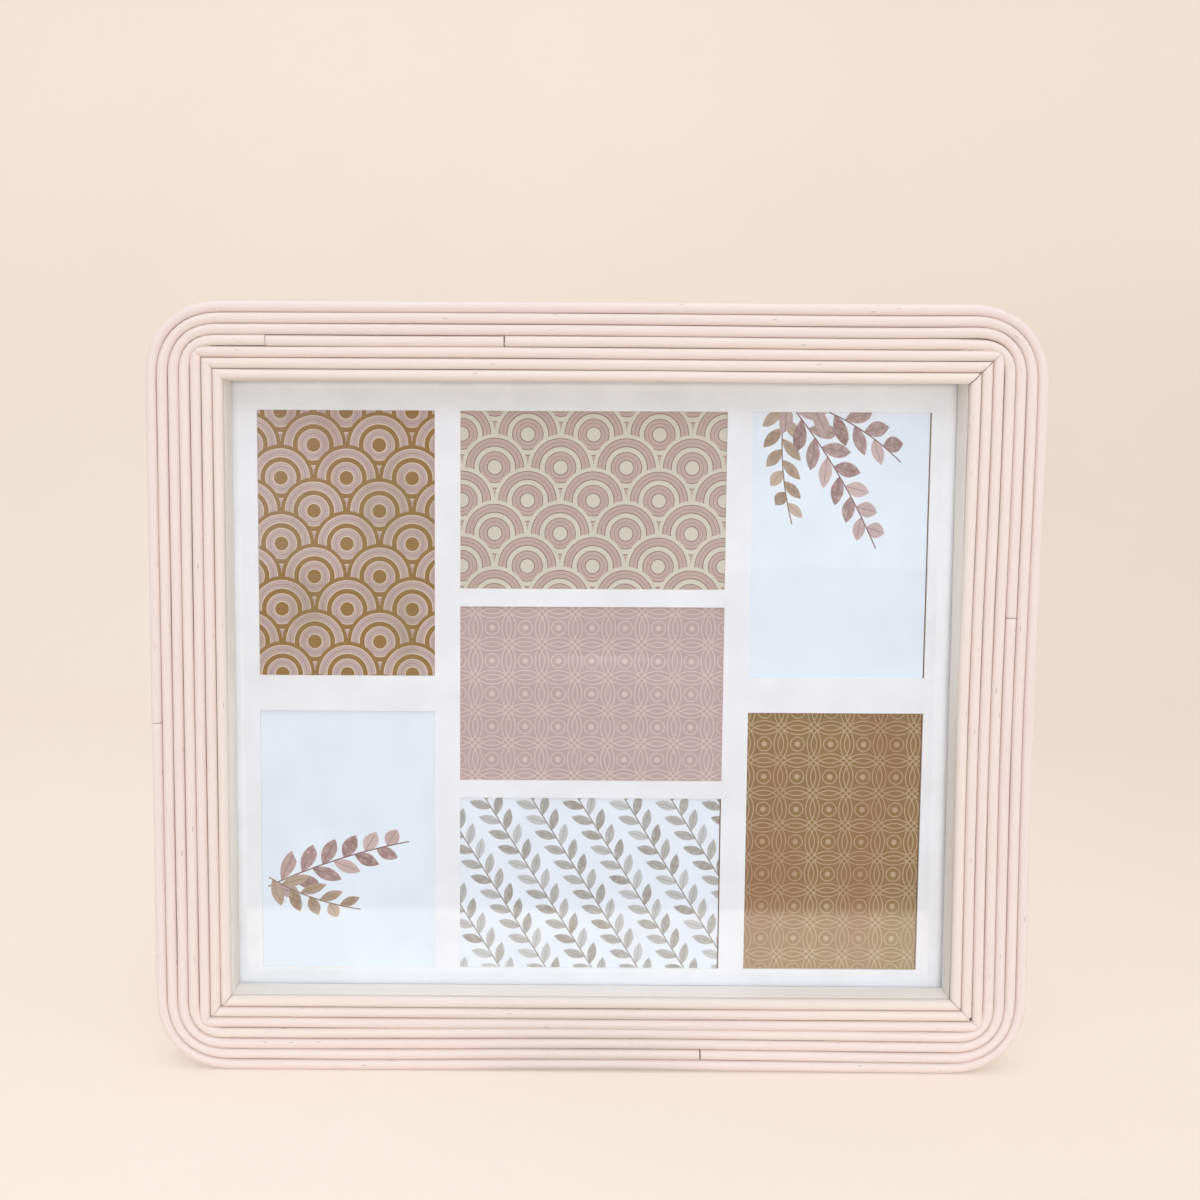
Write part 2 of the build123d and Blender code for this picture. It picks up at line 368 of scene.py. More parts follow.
def makeMatBoard():
    # cool white facing paper, and a warmer core where the openings are cut
    material, tree, shader = newMaterial("matBoard")
    tooth = useGroup(tree, paperTooth, Place=placeOf(tree))
    facing = tree.nodes.new("ShaderNodeNewGeometry").outputs["Normal"]
    cut = rescale(tree, calc(tree, "ABSOLUTE", splitXyz(tree, facing)[1]), 0.4, 0.6, 1, 0)
    mottle = rescale(tree, tooth["Mottle"], 0.35, 0.7)
    colour = blendColour(tree, mottle, matLook["face"], matLook["shade"])
    colour = blendColour(tree, cut, colour, matLook["core"])
    tree.links.new(colour, shader.inputs["Base Color"])
    tree.links.new(rescale(tree, tooth["Height"], 0.4, 1.1, 0.82, 0.95), shader.inputs["Roughness"])
    shader.inputs["Specular IOR Level"].default_value = 0.2
    bumpFrom(tree, shader, tooth["Height"], 0.1, 0.05 * mm)
    return material


glassLook = {"body": (0.985, 0.995, 0.99, 1), "passed": (0.98, 0.985, 0.985, 1), "bending": 1.5}


def makeClearGlass():
    # lamps and bounced light pass straight through to the cards
    material, tree, shader = newMaterial("clearGlass")
    shader.inputs["Base Color"].default_value = glassLook["body"]
    shader.inputs["Roughness"].default_value = 0.0
    shader.inputs["IOR"].default_value = glassLook["bending"]
    shader.inputs["Transmission Weight"].default_value = 1.0
    path = tree.nodes.new("ShaderNodeLightPath")
    passing = calc(tree, "MAXIMUM", path.outputs["Is Shadow Ray"], path.outputs["Is Diffuse Ray"])
    clear = tree.nodes.new("ShaderNodeBsdfTransparent")
    clear.inputs["Color"].default_value = glassLook["passed"]
    mix = mixShaders(tree, passing, shader.outputs[0], clear.outputs[0])
    tree.links.new(mix, tree.nodes["Material Output"].inputs["Surface"])
    return material


boardLook = {
    "fibre": tone(152, 112, 80),
    "dark": tone(130, 94, 66),
    "pale": tone(184, 146, 110),
    "screenPitch": 1.3 * mm,
}


def makeHardboard():
    # pressed fibre with the weave of the pressing screen on it
    material, tree, shader = newMaterial("hardboard")
    place = placeOf(tree)
    x, y, z = splitXyz(tree, place)
    clouds = noiseAt(tree, place, 26, 5, 0.7)
    hair = noiseAt(tree, place, 900, 3, 0.7)
    colour = blendColour(tree, rescale(tree, clouds, 0.3, 0.7), boardLook["dark"], boardLook["fibre"])
    colour = blendColour(tree, rescale(tree, hair, 0.55, 0.75, 0, 0.6), colour, boardLook["pale"])
    turn = 2 * math.pi / boardLook["screenPitch"]
    across = calc(tree, "SINE", times(tree, x, turn))
    upward = calc(tree, "SINE", times(tree, z, turn))
    screen = times(tree, across, upward)
    colour = blendColour(tree, rescale(tree, screen, 0, 1, 0, 0.35), colour, boardLook["dark"])
    tree.links.new(colour, shader.inputs["Base Color"])
    tree.links.new(rescale(tree, hair, 0.3, 0.7, 0.6, 0.8), shader.inputs["Roughness"])
    bumpFrom(tree, shader, minus(tree, times(tree, hair, 0.6), screen), 0.5, 0.1 * mm)
    return material


steelLook = {"bright": tone(208, 207, 204), "dull": tone(184, 182, 177)}


def makePlatedSteel():
    material, tree, shader = newMaterial("platedSteel")
    wear = useGroup(tree, platedWear, Place=placeOf(tree))
    dull = rescale(tree, wear["Dull"], 0.35, 0.7)
    colour = blendColour(tree, dull, steelLook["bright"], steelLook["dull"])
    tree.links.new(colour, shader.inputs["Base Color"])
    patches = rescale(tree, wear["Dull"], 0.3, 0.7, 0.2, 0.36)
    rough = calc(tree, "MULTIPLY_ADD", wear["Marks"], 0.16, patches)
    tree.links.new(rough, shader.inputs["Roughness"])
    shader.inputs["Metallic"].default_value = 1.0
    bumpFrom(tree, shader, wear["Marks"], 0.12, 0.03 * mm)
    return material


limewashedCane = makeLimewashedCane()
paintedAcross = makePaintedWood("paintedWoodAcross", "X")
paintedUpright = makePaintedWood("paintedWoodUpright", "Z")
matBoard = makeMatBoard()
clearGlass = makeClearGlass()
hardboard = makeHardboard()
platedSteel = makePlatedSteel()
print("finishes made")


# piece helpers
def vertsIn(made):
    return [part for part in made if isinstance(part, bmesh.types.BMVert)]


def edgesIn(made):
    return [part for part in made if isinstance(part, bmesh.types.BMEdge)]


def once(parts):
    # each part once, in the order found
    return list(dict.fromkeys(parts))


def linkMesh(name, bm):
    mesh = bpy.data.meshes.new(name)
    bm.to_mesh(mesh)
    bm.free()
    made = bpy.data.objects.new(name, mesh)
    scene.collection.objects.link(made)
    return made


def addPiece(name, bm, material, body="frame", instead=(), sharp=40):
    # edges that turn by more than the sharp angle, in degrees, stay crisp
    piece = linkMesh(name, bm)
    piece.data.shade_smooth()
    piece.data.set_sharp_from_angle(angle=math.radians(sharp))
    piece.data.materials.append(material)
    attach(piece, body)
    if instead:
        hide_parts(*instead)
    return piece


def dress(node, material):
    # a CAD node that stays gets its finish
    for slot in frame["nodes"][node].material_slots:
        slot.material = material


def pullRod(bm, frames, count, around=None):
    # a circle is extruded from frame to frame; the frames carry the radius
    ring = bmesh.ops.create_circle(bm, segments=count, radius=1)["verts"]
    if around:
        for vert in ring:
            vert[around] = math.atan2(vert.co.x, vert.co.y) / math.pi
    rim = once(edge for vert in ring for edge in vert.link_edges)
    bmesh.ops.transform(bm, matrix=frames[0], verts=ring)
    rings = [ring]
    rims = [rim]
    for before, after in zip(frames, frames[1:]):
        made = bmesh.ops.extrude_edge_only(bm, edges=rims[-1])["geom"]
        ring = vertsIn(made)
        rim = [edge for edge in edgesIn(made) if edge.is_boundary]
        bmesh.ops.transform(bm, matrix=after @ before.inverted(), verts=ring)
        rings.append(ring)
        rims.append(rim)
    return rings, rims


def rodFrame(place, travel, radius):
    # X points out of the frame, Y to the front and Z along the rod
    outwards = frontWay.cross(travel)
    columns = (outwards * radius, frontWay * radius, travel)
    matrix = Matrix(columns).transposed().to_4x4()
    matrix.translation = place
    return matrix


def evenly(points, step):
    # the same line with points at even steps, and its length
    lengths = [(b - a).length for a, b in zip(points, points[1:])]
    total = sum(lengths)
    count = round(total / step)
    line = []
    index = 0
    passed = 0.0
    for number in range(count + 1):
        target = total * number / count
        while index < len(lengths) - 1 and passed + lengths[index] < target:
            passed += lengths[index]
            index += 1
        line.append(points[index].lerp(points[index + 1], (target - passed) / lengths[index]))
    return line, total


def soften(bm, edges, ease, segments=2):
    bmesh.ops.bevel(
        bm, geom=edges, offset=ease, affect="EDGES", segments=segments, profile=0.5, material=-1,
        clamp_overlap=True,
    )


def easeRims(bm, ease):
    # small rounding where a cut end, of more than four edges, meets the round of the rod
    caps = [face for face in bm.faces if len(face.verts) > 4]
    soften(bm, once(edge for cap in caps for edge in cap.edges), ease)


def easedCopy(node, name, ease, material, body="frame", shape=None):
    # a CAD node's own shape with its sharp edges softened
    bm = bmesh.new()
    bm.from_mesh(frame["nodes"][node].data)
    bmesh.ops.remove_doubles(bm, verts=bm.verts, dist=0.002 * mm)
    bmesh.ops.dissolve_limit(bm, angle_limit=math.radians(1), verts=bm.verts, edges=bm.edges)
    if shape:
        shape(bm)
    whole = [edge for edge in bm.edges if edge.is_manifold]
    soften(bm, [edge for edge in whole if edge.calc_face_angle() > math.radians(40)], ease)
    addPiece(name, bm, material, body, [node], sharp=25)


# cane facing
cane = {
    "rows": 7,
    "bentRows": 4,
    "radius": 2.9 * mm,
    "sides": 24,
    "step": 4 * mm,
    "innerStep": 6 * mm,
    "cornerRadius": 34 * mm,
    "cornerReach": 1.28,  # bends start this much earlier than a true arc
    "cornerSteps": 40,
    "wander": 0.16 * mm,
    "wanderSlow": 95 * mm,
    "wanderQuick": 37 * mm,
    "edgeRoom": 0.1 * mm,  # keeps the outer row inside the frame's size
    "lift": 0.06 * mm,
    "liftLength": 120 * mm,
    "swell": 0.012,
    "swellLength": 55 * mm,
    "buttGap": 0.3 * mm,
    "cutEase": 0.22 * mm,
    "mitreEase": 0.1 * mm,
}
canePitch = railWidth / cane["rows"]

# how much closer the bent rows lie in the bend at the end of each side
squeezes = {"left": 1.7 * mm, "top": 2.5 * mm, "right": 2.5 * mm, "bottom": 1.9 * mm}
# where the rows of a side bow inwards: from its start, half the length, how far and the last row
bows = {
    "top": (381 * mm, 152 * mm, 0.6 * mm, 7),
    "right": (229 * mm, 185 * mm, 1.4 * mm, 7),
    "bottom": (214 * mm, 200 * mm, 1.0 * mm, 4),
}
caneAxis = cadLow.y + cane["radius"] * (1 + cane["swell"]) + cane["lift"]

# where each bent row is closed, and where it strays: from its start or, below zero, from its end,
# then half the length of the stray and how far it goes inwards
fillerLow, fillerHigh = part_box("filler_cane_4")
bentCanes = {
    1: {"side": "left", "joint": 192 * mm, "tint": 0.7, "strays": []},
    2: {"side": "bottom", "joint": 60 * mm, "gap": 0.7 * mm, "tint": 0.45, "strays": []},
    3: {"side": "right", "joint": 251 * mm, "tint": 0.6, "strays": []},
    4: {
        "side": "top",
        "joint": (fillerLow.x + fillerHigh.x) / 2,
        "gap": fillerHigh.x - fillerLow.x + 2 * cane["buttGap"],
        "tint": 0.3,
        "strays": [(252 * mm, 20 * mm, 0.55 * mm), (-1 * mm, 46 * mm, -0.3 * mm)],
    },
}
fillerCane = {"tint": 0.6, "seed": 4.4, "gapRight": 0.5 * mm, "push": 0.15 * mm}
innerTints = {5: 0.42, 6: 0.34, 7: 0.14}
tintSpread = 0.16  # between the four canes of a row
# openings of the mitres, at each side's end
mitreGaps = {"left": 0.05 * mm, "top": 0.4 * mm, "right": 0.2 * mm, "bottom": 0.24 * mm}
shortTip = {"row": 6, "side": "right", "cut": 2.6 * mm}  # leaves a small hole in the mitre
slitShadow = {"row": 7, "side": "right", "from": 265 * mm}  # painted shadow between this cane and the rail, from this far along it


def wave(distance, length, seed):
    return noise.noise(Vector((distance / length, seed * 3.7, seed * 1.31 + 0.4)))


def strayAt(distance, total, strays):
    push = 0.0
    for place, half, depth in strays:
        middle = place if place > 0 else total + place
        near = abs(distance - middle) / half
        if near < 1:
            push += depth * math.cos(near * math.pi / 2) ** 2
    return push


def bowAt(point, travel, row):
    push = 0.0
    for side, (place, half, depth, lastRow) in bows.items():
        facing = max(0.0, travel.dot(sides[side][0]))
        passed = (point - cornerAfter(sideBefore(side), 0)).dot(sides[side][0])
        near = abs(passed - place) / half
        if near < 1 and row <= lastRow:
            push += depth * math.cos(near * math.pi / 2) ** 2 * facing ** 2
    return push


def narrowing(point, travel):
    # a rod loses a little of its width where it bends
    if point.x > 0:
        side = "top" if point.z > frameTop / 2 else "right"
    else:
        side = "left" if point.z > frameTop / 2 else "bottom"
    bend = 2 * abs(travel.x * travel.z)
    return 1 - squeezes[side] / (cane["bentRows"] * canePitch) * bend ** 2


def caneBody(points, row, seed, tint, strays=(), push=0.0, step=cane["step"], shadowFrom=None):
    line, total = evenly(points, step)
    frames = []
    last = len(line) - 1
    for index, point in enumerate(line):
        distance = total * index / last
        travel = (line[min(index + 1, last)] - line[max(index - 1, 0)]).normalized()
        outwards = frontWay.cross(travel)
        slow = wave(distance, cane["wanderSlow"], seed)
        quick = wave(distance, cane["wanderQuick"], seed + 0.5)
        sway = cane["wander"] * (slow + 0.5 * quick)
        sway -= strayAt(distance, total, strays) + bowAt(point, travel, row) + push
        lift = cane["lift"] * wave(distance, cane["liftLength"], seed + 9)
        swell = cane["swell"] * wave(distance, cane["swellLength"], seed + 4)
        radius = cane["radius"] * (1 + swell)
        place = rodFrame(point + outwards * sway + frontWay * lift, travel, radius)
        frames.append(place @ Matrix.Scale(narrowing(point, travel), 4, (1, 0, 0)))
    bm = bmesh.new()
    layers = bm.verts.layers.float
    around = layers.new("around")
    along = layers.new("along")
    tintLayer = layers.new("tint")
    valley = layers.new("valley")
    rings = pullRod(bm, frames, cane["sides"], around)[0]
    outer = 0.0 if row == 1 else 1.0
    inner = 0.0 if row == cane["rows"] else 1.0
    for index, ring in enumerate(rings):
        for vert in ring:
            vert[along] = total * index / last
            vert[tintLayer] = tint
            # the valley mark, partly painted shade, goes only on a side that has a neighbouring rod
            vert[valley] = outer if vert[around] > 0 else inner
            # painted shadow: past that point the rod's inner side takes the full valley tone
            if shadowFrom and vert[along] > shadowFrom and vert[around] < 0:
                vert[valley] = 1.0
            vert.co.y = min(vert.co.y, railFront)  # glued flat to the rail
    bmesh.ops.holes_fill(bm, edges=bm.edges)
    bmesh.ops.recalc_face_normals(bm, faces=bm.faces)
    return bm


def easedBend(corner, arrive, leave, radius, pull):
    # a bend that tightens towards its middle, as a bent rod does, and is pulled in there
    reach = radius * cane["cornerReach"]
    middle = radius * (1 - math.sqrt(0.5)) + pull * math.sqrt(0.5)
    power = math.log(2) / -math.log(1 - middle / reach)
    points = []
    for number in range(cane["cornerSteps"] + 1):
        angle = number / cane["cornerSteps"] * math.pi / 2
        onward = reach * (1 - math.cos(angle) ** (2 / power))
        short = reach * (1 - math.sin(angle) ** (2 / power))
        points.append(corner - arrive * short + leave * onward)
    return points


def rowInset(row):
    return (row - 0.5) * canePitch


def atAxis(point):
    return Vector((point.x, caneAxis, point.z))


def makeBentCane(row, plan):
    side = plan["side"]
    travel = sides[side][0]
    inset = rowInset(row)
    joint = cornerAfter(side, inset)
    if travel.x:
        joint.x = plan["joint"]
    else:
        joint.z = plan["joint"]
    half = travel * plan.get("gap", cane["buttGap"]) / 2
    points = [joint + half]
    first = sideNames.index(side)
    for name in sideNames[first:] + sideNames[:first]:
        pull = squeezes[name] * (cane["bentRows"] + 0.5 - row) / cane["bentRows"]
        points += easedBend(cornerAfter(name, inset), *sides[name], cane["cornerRadius"] - inset, pull)
    points.append(joint - half)
    push = cane["edgeRoom"] if row == 1 else 0
    bm = caneBody([atAxis(p) for p in points], row, row, plan["tint"], plan["strays"], push)
    easeRims(bm, cane["cutEase"])
    addPiece(f"cane_row_{row}", bm, limewashedCane, instead=[f"bent_cane_{row}"])


def makeFillerCane():
    row = cane["bentRows"]
    z = cornerAfter("top", rowInset(row)).z
    rightEnd = fillerHigh.x - fillerCane["gapRight"]
    ends = [Vector((x, caneAxis, z)) for x in (fillerLow.x, rightEnd)]
    bm = caneBody(ends, row, fillerCane["seed"], fillerCane["tint"], push=fillerCane["push"])
    easeRims(bm, cane["cutEase"])
    addPiece("cane_filler", bm, limewashedCane, instead=["filler_cane_4"])


def cutOff(bm, point, way):
    # everything past the point on that way goes, and the cut is closed
    everything = bm.verts[:] + bm.edges[:] + bm.faces[:]
    bmesh.ops.bisect_plane(bm, geom=everything, plane_co=point, plane_no=way, clear_outer=True)
    bmesh.ops.holes_fill(bm, edges=bm.edges)


def makeInnerCane(row, side):
    travel, inwards = sides[side]
    start = cornerAfter(sideBefore(side), rowInset(row))
    end = cornerAfter(side, rowInset(row))
    spare = travel * canePitch
    points = [atAxis(start - spare), atAxis(end + spare)]
    seed = row * 10 + sideNames.index(side)
    tint = innerTints[row] + tintSpread * noise.noise(Vector((seed * 2.3, 0.5, 0)))
    shadowFrom = slitShadow["from"] if (row, side) == (slitShadow["row"], slitShadow["side"]) else None
    bm = caneBody(points, row, seed, tint, step=cane["innerStep"], shadowFrom=shadowFrom)
    share = (row - cane["bentRows"]) / (cane["rows"] - cane["bentRows"])
    for back, mitre in ((travel, sideBefore(side)), (-travel, side)):
        corner = cornerAfter(mitre, 0)
        cutOff(bm, corner + back * mitreGaps[mitre] * share, (inwards - back).normalized())
        if row == cane["bentRows"] + 1:  # the tip gives way to the bent row outside it
            centre = corner + (back + inwards) * cane["cornerRadius"]
            clear = cane["cornerRadius"] - cane["bentRows"] * canePitch
            for lean in (math.pi / 8, math.pi / 4):
                way = -inwards * math.cos(lean) - back * math.sin(lean)
                cutOff(bm, centre + way * clear, way)
    if (row, side) == (shortTip["row"], shortTip["side"]):
        tip = cornerAfter(side, (row - 1) * canePitch)
        cutOff(bm, tip - travel * shortTip["cut"], travel)
    bmesh.ops.recalc_face_normals(bm, faces=bm.faces)
    easeRims(bm, cane["mitreEase"])
    replaced = [f"inner_cane_{row}_{side}"]
    addPiece(f"cane_row_{row}_{side}", bm, limewashedCane, instead=replaced)


for row, plan in bentCanes.items():
    makeBentCane(row, plan)
makeFillerCane()
for row in range(cane["bentRows"] + 1, cane["rows"] + 1):
    for side in sideNames:
        makeInnerCane(row, side)
print("canes bent and mitred")

# rails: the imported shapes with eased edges
rail = {"ease": 0.35 * mm, "leanTop": 2.4 * mm, "leanRight": 1.4 * mm, "near": 0.5 * mm}


def leanLip(bm):
    # behind the cane the recess widens upwards, out of sight, and a little at its right foot
    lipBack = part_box("glass")[0].y
    near = rail["near"]
    for vert in bm.verts:
        x, y, z = vert.co
        if abs(y - lipBack) > near or abs(abs(x) - halfWidth + railWidth) > near:
            continue
        if abs(z - frameTop + railWidth) < near:
            vert.co.z += rail["leanTop"]
        elif abs(z - railWidth) < near and x > 0:
            vert.co.x += rail["leanRight"]


for side in sideNames:
    finish = paintedAcross if side in ("top", "bottom") else paintedUpright
    easedCopy(f"rail_{side}", f"rail_{side}_eased", rail["ease"], finish, shape=leanLip)
print("rails eased")

# glass: a pane with ground edges, just clear of what it lies against
pane = {"clear": 0.06 * mm, "arris": 0.25 * mm}


def boxBetween(bm, low, high):
    made = bmesh.ops.create_cube(bm, size=1)["verts"]
    bmesh.ops.scale(bm, vec=high - low, verts=made)
    bmesh.ops.translate(bm, vec=(low + high) / 2, verts=made)
    return made


def makePane():
    low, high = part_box("glass")
    clear = Vector((0, pane["clear"], 0))
    bm = bmesh.new()
    boxBetween(bm, low + clear, high - clear)
    soften(bm, bm.edges[:], pane["arris"], segments=1)
    addPiece("glass_pane", bm, clearGlass, instead=["glass"], sharp=20)


makePane()
dress("mat", matBoard)
dress("backing_board", hardboard)
print("glass, mat and back dressed")


# designs on the cards, in millimetres from a point of the card
leafRow = {
    "lean": math.radians(42),  # from the stem outwards
    "loneGap": 400.0,  # wider than a card, so that one stem shows
    "foot": -8,  # where a single stem starts, below its first leaves
}


def makeScaleRows():
    # overlapping scales; the distance runs from 0 at a scale's middle to 1 at its edge
    group, given, out = newGroup("scaleRows", ["Place", "Radius"], ["Distance"])
    x, y, z = splitXyz(group, given["Place"])
    across = calc(group, "DIVIDE", x, given["Radius"])
    upward = calc(group, "DIVIDE", z, given["Radius"])
    row = calc(group, "FLOOR", upward)
    rise = minus(group, upward, row)
    shifted = minus(group, across, calc(group, "MODULO", row, 2))
    sideways = calc(group, "PINGPONG", shifted, 1)
    near = lengthOf(group, sideways, rise)
    behind = lengthOf(group, minus(group, 1, sideways), minus(group, 1, rise))
    inFront = calc(group, "LESS_THAN", near, 1)
    step = minus(group, near, behind)
    group.links.new(calc(group, "MULTIPLY_ADD", step, inFront, behind), out["Distance"])
    return group


def makeRingLattice():
    # thin rings that overlap in fours, with smaller rings and dots inside them
    group, given, out = newGroup("ringLattice", ["Place", "Pitch", "Line"], ["Lines", "Dots"])
    x, y, z = splitXyz(group, given["Place"])
    half = times(group, given["Pitch"], 0.5)
    across = calc(group, "PINGPONG", x, half)
    upward = calc(group, "PINGPONG", z, half)
    first = lengthOf(group, across, upward)
    second = lengthOf(group, minus(group, half, across), minus(group, half, upward))
    lines = 0.0
    for distance in (first, second):
        for share in (1.0, 0.82, 0.3):
            off = calc(group, "ABSOLUTE", minus(group, distance, times(group, half, share)))
            ring = rescale(group, calc(group, "DIVIDE", off, given["Line"]), 0.35, 0.65, 1, 0)
            lines = calc(group, "MAXIMUM", lines, ring)
    group.links.new(lines, out["Lines"])
    nearest = calc(group, "DIVIDE", calc(group, "MINIMUM", first, second), half)
    group.links.new(rescale(group, nearest, 0.1, 0.13, 1, 0), out["Dots"])
    return group


def makeLeafRows():
    # stems with pairs of pointed leaves; a wide stem gap leaves a single stem
    group, given, out = newGroup(
        "leafRows",
        ["Place", "Length", "Width", "Pitch", "Gap", "Taper"],
        ["Leaf", "Rib", "Stem", "Shade", "Step"],
    )
    x, y, z = splitXyz(group, given["Place"])
    stem = calc(group, "ROUND", calc(group, "DIVIDE", x, given["Gap"]))
    off = minus(group, x, times(group, stem, given["Gap"]))
    hand = calc(group, "GREATER_THAN", off, 0)
    away = calc(group, "ABSOLUTE", off)
    start = calc(group, "MULTIPLY_ADD", hand, 0.5, times(group, stem, 0.37))
    climb = calc(group, "ADD", calc(group, "DIVIDE", z, given["Pitch"]), start)
    pair = calc(group, "FLOOR", climb)
    within = times(group, minus(group, climb, pair), given["Pitch"])
    leanCos, leanSin = math.cos(leafRow["lean"]), math.sin(leafRow["lean"])
    reach = calc(group, "MULTIPLY_ADD", within, leanCos, times(group, away, leanSin))
    rise = times(group, within, leanSin)
    side = minus(group, times(group, away, leanCos), rise)
    size = minus(group, 1, times(group, pair, given["Taper"]))
    share = calc(group, "DIVIDE", reach, times(group, given["Length"], size))
    hump = times(group, share, 4, minus(group, 1, share))
    offRib = calc(group, "ABSOLUTE", side)
    inside = minus(group, times(group, hump, given["Width"]), offRib)
    group.links.new(rescale(group, inside, 0, 0.25), out["Leaf"])
    rib = rescale(group, offRib, 0.1, 0.3, 1, 0)
    group.links.new(times(group, rib, rescale(group, share, 0.75, 0.9, 1, 0)), out["Rib"])
    group.links.new(rescale(group, away, 0.25, 0.45, 1, 0), out["Stem"])
    pick = group.nodes.new("ShaderNodeTexWhiteNoise")
    group.links.new(joinXyz(group, stem, pair, hand), pick.inputs["Vector"])
    group.links.new(pick.outputs["Value"], out["Shade"])
    group.links.new(pair, out["Step"])
    return group


scaleRows = makeScaleRows()
ringLattice = makeRingLattice()
leafRows = makeLeafRows()

# a sprig is given by its foot, X and Z, its turn, the leaves on a side, its curve and its kind
cards = {
    "top_left": {
        "design": "scales",
        "goldInk": True,
        "radius": 18.0,
        "ground": tone(160, 124, 74),
        "band": tone(204, 178, 172),
        "outline": tone(236, 215, 196),
        "heart": tone(172, 142, 136),
    },
    "top_middle": {
        "design": "scales",
        "radius": 18.0,
        "ground": tone(220, 213, 196),
        "band": tone(200, 176, 167),
        "outline": tone(148, 120, 108),
        "heart": tone(172, 138, 122),
    },
    "middle": {
        "design": "rings",
        "pitch": 26.0,
        "line": 0.55,
        "turn": 45,
        "ground": tone(198, 172, 170),
        "ink": tone(229, 207, 198),
    },
    "bottom_right": {
        "design": "rings",
        "pitch": 26.0,
        "line": 0.55,
        "turn": 45,
        "goldInk": True,
        "ground": tone(158, 126, 86),
        "ink": tone(206, 181, 152),
    },
    "bottom_middle": {
        "design": "leaves",
        "length": 13.0,
        "width": 2.6,
        "pitch": 10.0,
        "gap": 22.0,
        "turn": 32,
        "ground": tone(242, 247, 255),
        "dark": tone(162, 154, 143),
        "light": tone(208, 208, 208),
    },
    "top_right": {
        "design": "sprig",
        "ground": tone(238, 246, 255),
        "sprigs": [
            (-30, 70, 176, 5, -0.003, "beige"),
            (-24, 74, -141, 7, 0.0015, "rose"),
            (-8, 74, -112, 4, 0.004, "rose"),
        ],
    },
    "bottom_left": {
        "design": "sprig",
        "ground": tone(238, 246, 255),
        "sprigs": [
            (-38, -24, -66, 6, 0.0015, "rose"),
            (-38, -26, -118, 4, -0.004, "beige"),
        ],
    },
}
# how the rings of a scale change colour, from its middle to its edge
scaleBands = [
    (0.0, "ground"), (0.21, "outline"), (0.235, "band"), (0.335, "heart"), (0.35, "band"),
    (0.45, "outline"), (0.475, "ground"), (0.62, "outline"), (0.645, "band"), (0.745, "heart"),
    (0.76, "band"), (0.86, "outline"), (0.885, "ground"),
]
# the paper's mottle, and the two tones between which gold ink plays
printing = {"shade": tone(120, 108, 100), "copper": tone(158, 112, 92), "olive": tone(146, 134, 92)}
sprigKinds = {
    "rose": {
        "length": 21.0,
        "width": 3.9,
        "pitch": 12.5,
        "dark": tone(140, 102, 98),
        "light": tone(214, 190, 186),
    },
    "beige": {
        "length": 17.0,
        "width": 3.2,
        "pitch": 11.5,
        "dark": tone(152, 124, 100),
        "light": tone(206, 186, 166),
    },
}


def cardPlace(tree, centre, degrees=0):
    # millimetres from a point of the card, turned in its plane
    return placeOf(tree, centre, (1 / mm, 1 / mm, 1 / mm), math.radians(degrees))


def scaleColours(tree, centre, card):
    place = cardPlace(tree, centre)
    distance = useGroup(tree, scaleRows, Place=place, Radius=card["radius"])["Distance"]
    ramp = tree.nodes.new("ShaderNodeValToRGB")
    ramp.color_ramp.interpolation = "CONSTANT"
    stops = ramp.color_ramp.elements
    for position, name in scaleBands[2:]:  # a new ramp has two stops
        stops.new(position)
    for stop, (position, name) in zip(stops, scaleBands):
        stop.position = position
        stop.color = card[name]
    tree.links.new(distance, ramp.inputs[0])
    return ramp.outputs[0]


def ringColours(tree, centre, card):
    place = cardPlace(tree, centre, card["turn"])
    lattice = useGroup(tree, ringLattice, Place=place, Pitch=card["pitch"], Line=card["line"])
    marks = calc(tree, "MAXIMUM", lattice["Lines"], lattice["Dots"])
    return blendColour(tree, times(tree, marks, 0.8), card["ground"], card["ink"])


def leafColours(tree, place, leaf, ground, gap, steps=None):
    # leaves over a ground; with a number of steps, on a single stem that tapers to half
    taper = 0.0 if steps is None else 0.5 / steps
    leaves = useGroup(
        tree, leafRows, Place=place, Gap=gap, Taper=taper,
        Length=leaf["length"], Width=leaf["width"], Pitch=leaf["pitch"],
    )
    colour = blendColour(tree, leaves["Shade"], leaf["dark"], leaf["light"])
    wash = noiseAt(tree, place, 0.35, 3, 0.6)
    colour = blendColour(tree, rescale(tree, wash, 0.4, 0.7, 0, 0.6), colour, leaf["light"])
    colour = blendColour(tree, times(tree, leaves["Rib"], 0.7), colour, leaf["dark"])
    shape = leaves["Leaf"]
    stem = leaves["Stem"]
    if steps is not None:  # one stem with whole leaves only
        above = calc(tree, "GREATER_THAN", leaves["Step"], -0.5)
        below = calc(tree, "LESS_THAN", leaves["Step"], steps - 0.5)
        shape = times(tree, shape, above, below)
        z = splitXyz(tree, place)[2]
        above = calc(tree, "GREATER_THAN", z, leafRow["foot"])
        below = calc(tree, "LESS_THAN", z, steps * leaf["pitch"])
        stem = times(tree, stem, above, below)
    colour = blendColour(tree, shape, ground, colour)
    return blendColour(tree, stem, colour, leaf["dark"])


def sprigColours(tree, centre, card):
    # stems that curve a little, drawn one over the other
    colour = card["ground"]
    for footX, footZ, turn, steps, curve, kind in card["sprigs"]:
        foot = centre + Vector((footX, 0, footZ)) * mm
        x, y, z = splitXyz(tree, cardPlace(tree, foot, turn))
        bend = times(tree, z, z, curve)
        bent = joinXyz(tree, minus(tree, x, bend), y, z)
        colour = leafColours(tree, bent, sprigKinds[kind], colour, leafRow["loneGap"], steps)
    return colour


